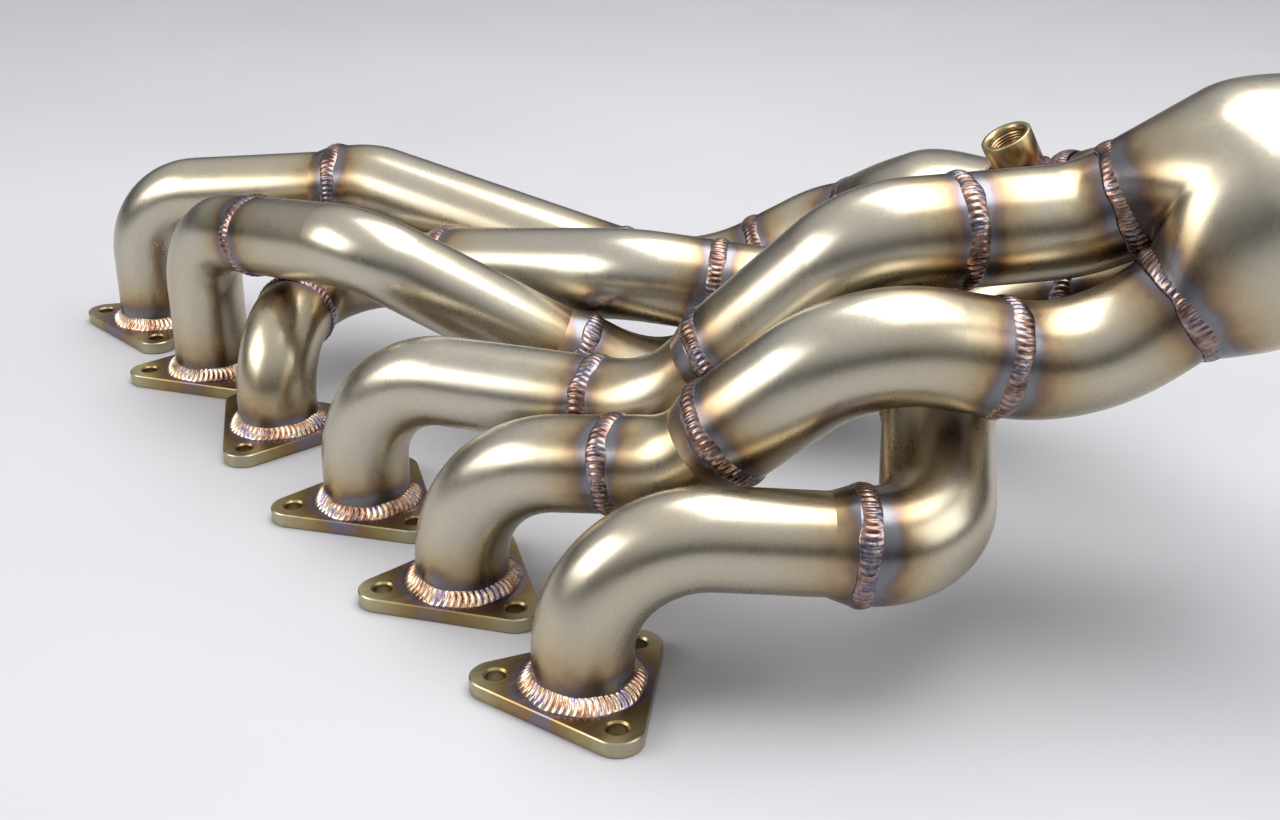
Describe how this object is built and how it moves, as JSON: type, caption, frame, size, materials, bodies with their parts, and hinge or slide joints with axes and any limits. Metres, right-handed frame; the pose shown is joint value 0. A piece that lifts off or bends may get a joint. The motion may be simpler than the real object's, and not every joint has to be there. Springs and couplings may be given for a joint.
{
  "type": "exhaust manifold",
  "caption": "Tubular stainless exhaust manifold for an in-line six: bolted port flanges, stepped welded runners and two merge collectors with a sensor bung.",
  "frame": {"origin": "centre of port 1 on the flanges' mounting face", "axes": "+X along the ports from port 6 towards port 1, +Y from the port line towards the collectors, +Z away from the cylinder head's face"},
  "size_m": [0.7363, 0.4312, 0.2868],
  "materials": {
    "tube": "satin stainless with straw heat tint",
    "flange_plate": "satin stainless plate, olive gold heat tint",
    "weld_bead": "rippled weld bead, copper and purple heat tint",
    "bung": "machined stainless, brown heat tint"
  },
  "bodies": {
    "root": {"flange_1": "flange_plate", "flange_weld_1": "weld_bead", "port_bend_1": "tube", "runner_welds_1": "weld_bead", "runner_1_elbow": "tube", "runner_1_riser": "tube", "runner_1_tail": "tube", "flange_2": "flange_plate", "flange_weld_2": "weld_bead", "port_bend_2": "tube", "runner_welds_2": "weld_bead", "runner_2_joiner": "tube", "runner_2_arch": "tube", "runner_2_tail": "tube", "flange_3": "flange_plate", "flange_weld_3": "weld_bead", "port_bend_3": "tube", "runner_welds_3": "weld_bead", "runner_3_joiner": "tube", "runner_3_arch": "tube", "runner_3_tail": "tube", "flange_4": "flange_plate", "flange_weld_4": "weld_bead", "port_bend_4": "tube", "runner_welds_4": "weld_bead", "runner_4_elbow": "tube", "runner_4_long": "tube", "runner_4_tail": "tube", "flange_5": "flange_plate", "flange_weld_5": "weld_bead", "port_bend_5": "tube", "runner_welds_5": "weld_bead", "runner_5_joiner": "tube", "runner_5_dip": "tube", "runner_5_tail": "tube", "flange_6": "flange_plate", "flange_weld_6": "weld_bead", "port_bend_6": "tube", "runner_welds_6": "weld_bead", "runner_6_long": "tube", "runner_6_dip": "tube", "runner_6_tail": "tube", "front_collector": "tube", "front_outlet": "tube", "front_collector_welds": "weld_bead", "rear_collector": "tube", "rear_outlet": "tube", "rear_collector_welds": "weld_bead", "oxygen_sensor_bung": "bung", "bung_weld": "weld_bead"}
  },
  "joints": []
}
